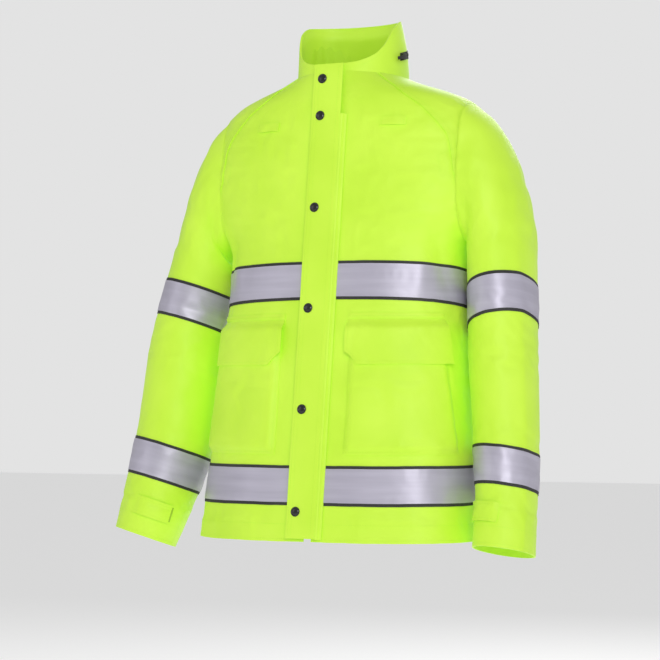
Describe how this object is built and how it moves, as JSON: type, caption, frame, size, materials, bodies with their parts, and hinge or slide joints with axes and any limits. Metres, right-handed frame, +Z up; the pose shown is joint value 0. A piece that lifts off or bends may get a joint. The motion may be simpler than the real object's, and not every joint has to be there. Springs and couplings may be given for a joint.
{
  "type": "high-visibility duty coat",
  "caption": "Lime-yellow waterproof duty coat, worn shape, with stand collar, snapped storm flap over a zip, flap pockets and silver reflective bands",
  "frame": {"origin": "middle of the hang loop, on the seam at the back of the neck, where a hook carries the coat", "axes": "+X is the wearer's left, -Y is the front of the coat, +Z is up when it hangs"},
  "size_m": [0.7081, 0.3056, 0.8352],
  "materials": {
    "shell_fabric": "lime-yellow coated polyester, waterproof, low sheen",
    "hood_fabric": "thin lime-yellow hood cloth, rolled",
    "lining_fabric": "fine pale grey mesh lining",
    "black_trim": "black woven tape",
    "reflective_tape": "silver retroreflective tape, glass-bead surface",
    "snap_metal": "black lacquered brass",
    "zip_plastic": "black moulded zip plastic",
    "hook_loop": "hook-and-loop pile",
    "label_cloth": "white satin tape, blank"
  },
  "bodies": {
    "coat_body": {"back_panel": "shell_fabric", "front_panel_left": "shell_fabric", "front_panel_right": "shell_fabric", "shoulder_yoke_left": "shell_fabric", "shoulder_yoke_right": "shell_fabric", "torso_lining": "lining_fabric", "hem_facing": "shell_fabric", "collar_shell": "shell_fabric", "collar_lining": "shell_fabric", "hood_roll": "hood_fabric", "collar_zip_tape": "zip_plastic", "zip_tape_left": "black_trim", "zip_tape_right": "black_trim", "zip_teeth_left": "zip_plastic", "zip_teeth_right": "zip_plastic", "zip_top_stops": "zip_plastic", "zip_retainer_box": "zip_plastic", "storm_flap_welt": "shell_fabric", "snap_studs": "snap_metal", "pocket_left": "shell_fabric", "pocket_right": "shell_fabric", "pocket_flap_welts": "shell_fabric", "pocket_loop_patches": "hook_loop", "chest_band_trim": "black_trim", "chest_band_tape": "reflective_tape", "hem_band_trim": "black_trim", "hem_band_tape": "reflective_tape", "mic_tab_left": "shell_fabric", "mic_tab_right": "shell_fabric", "hang_loop": "black_trim", "neck_label": "label_cloth"},
    "storm_flap_body": {"storm_flap": "shell_fabric", "snap_caps": "snap_metal", "snap_sockets": "snap_metal"},
    "main_slider_body": {"main_slider": "snap_metal"},
    "main_pull_body": {"main_pull": "snap_metal"},
    "collar_slider_body": {"collar_slider": "snap_metal"},
    "collar_pull_body": {"collar_pull": "black_trim"},
    "pocket_flap_left_body": {"pocket_flap_left": "shell_fabric"},
    "sleeve_left_body": {"sleeve_left": "shell_fabric", "sleeve_band_trim_left": "black_trim", "sleeve_band_tape_left": "reflective_tape", "cuff_facing_left": "shell_fabric", "cuff_loop_patch_left": "hook_loop"},
    "cuff_tab_left_body": {"cuff_tab_left": "shell_fabric"},
    "pocket_flap_right_body": {"pocket_flap_right": "shell_fabric"},
    "sleeve_right_body": {"sleeve_right": "shell_fabric", "sleeve_band_trim_right": "black_trim", "sleeve_band_tape_right": "reflective_tape", "cuff_facing_right": "shell_fabric", "cuff_loop_patch_right": "hook_loop"},
    "cuff_tab_right_body": {"cuff_tab_right": "shell_fabric"}
  },
  "joints": [
    {"name": "left_sleeve_swing", "type": "hinge", "parent": "coat_body", "child": "sleeve_left_body", "pos_m": [0.2, -0.058, -0.168], "axis": [1, 0, 0], "range_deg": [-6, 35]},
    {"name": "right_sleeve_swing", "type": "hinge", "parent": "coat_body", "child": "sleeve_right_body", "pos_m": [-0.2, -0.058, -0.168], "axis": [1, 0, 0], "range_deg": [-6, 35]},
    {"name": "storm_flap_open", "type": "hinge", "parent": "coat_body", "child": "storm_flap_body", "pos_m": [0.023, -0.20073, -0.35916], "axis": [0, 0.1405, 0.9901], "range_deg": [0, 105]},
    {"name": "main_zip_slide", "type": "slide", "parent": "coat_body", "child": "main_slider_body", "axis": [0, 0.1405, 0.9901], "range_m": [-0.66, 0]},
    {"name": "main_pull_tilt", "type": "hinge", "parent": "main_slider_body", "child": "main_pull_body", "pos_m": [0.008, -0.14946, -0.02061], "axis": [-1, 0, 0], "range_deg": [0, 2.4]},
    {"name": "collar_zip_slide", "type": "hinge", "parent": "coat_body", "child": "collar_slider_body", "pos_m": [0.00764, -0.06604, 0.02138], "axis": [0, -0.2419, 0.9703], "range_deg": [0, 42]},
    {"name": "collar_pull_tilt", "type": "hinge", "parent": "collar_slider_body", "child": "collar_pull_body", "pos_m": [0.09234, -0.06604, 0.02138], "axis": [0, -0.2419, 0.9703], "range_deg": [0, 90]},
    {"name": "left_pocket_flap_lift", "type": "hinge", "parent": "coat_body", "child": "pocket_flap_left_body", "pos_m": [0.13497, -0.18982, -0.3949], "axis": [-0.8934, -0.4493, 0], "range_deg": [0, 110]},
    {"name": "right_pocket_flap_lift", "type": "hinge", "parent": "coat_body", "child": "pocket_flap_right_body", "pos_m": [-0.13498, -0.18982, -0.3949], "axis": [-0.8934, 0.4493, 0], "range_deg": [0, 110]},
    {"name": "left_cuff_tab_lift", "type": "hinge", "parent": "sleeve_left_body", "child": "cuff_tab_left_body", "pos_m": [0.29037, -0.18987, -0.67962], "axis": [0.1056, 0.2137, 0.9712], "range_deg": [0, 90]},
    {"name": "right_cuff_tab_lift", "type": "hinge", "parent": "sleeve_right_body", "child": "cuff_tab_right_body", "pos_m": [-0.3205, -0.19588, -0.6782], "axis": [-0.259, -0.2075, -0.9433], "range_deg": [0, 90]}
  ]
}
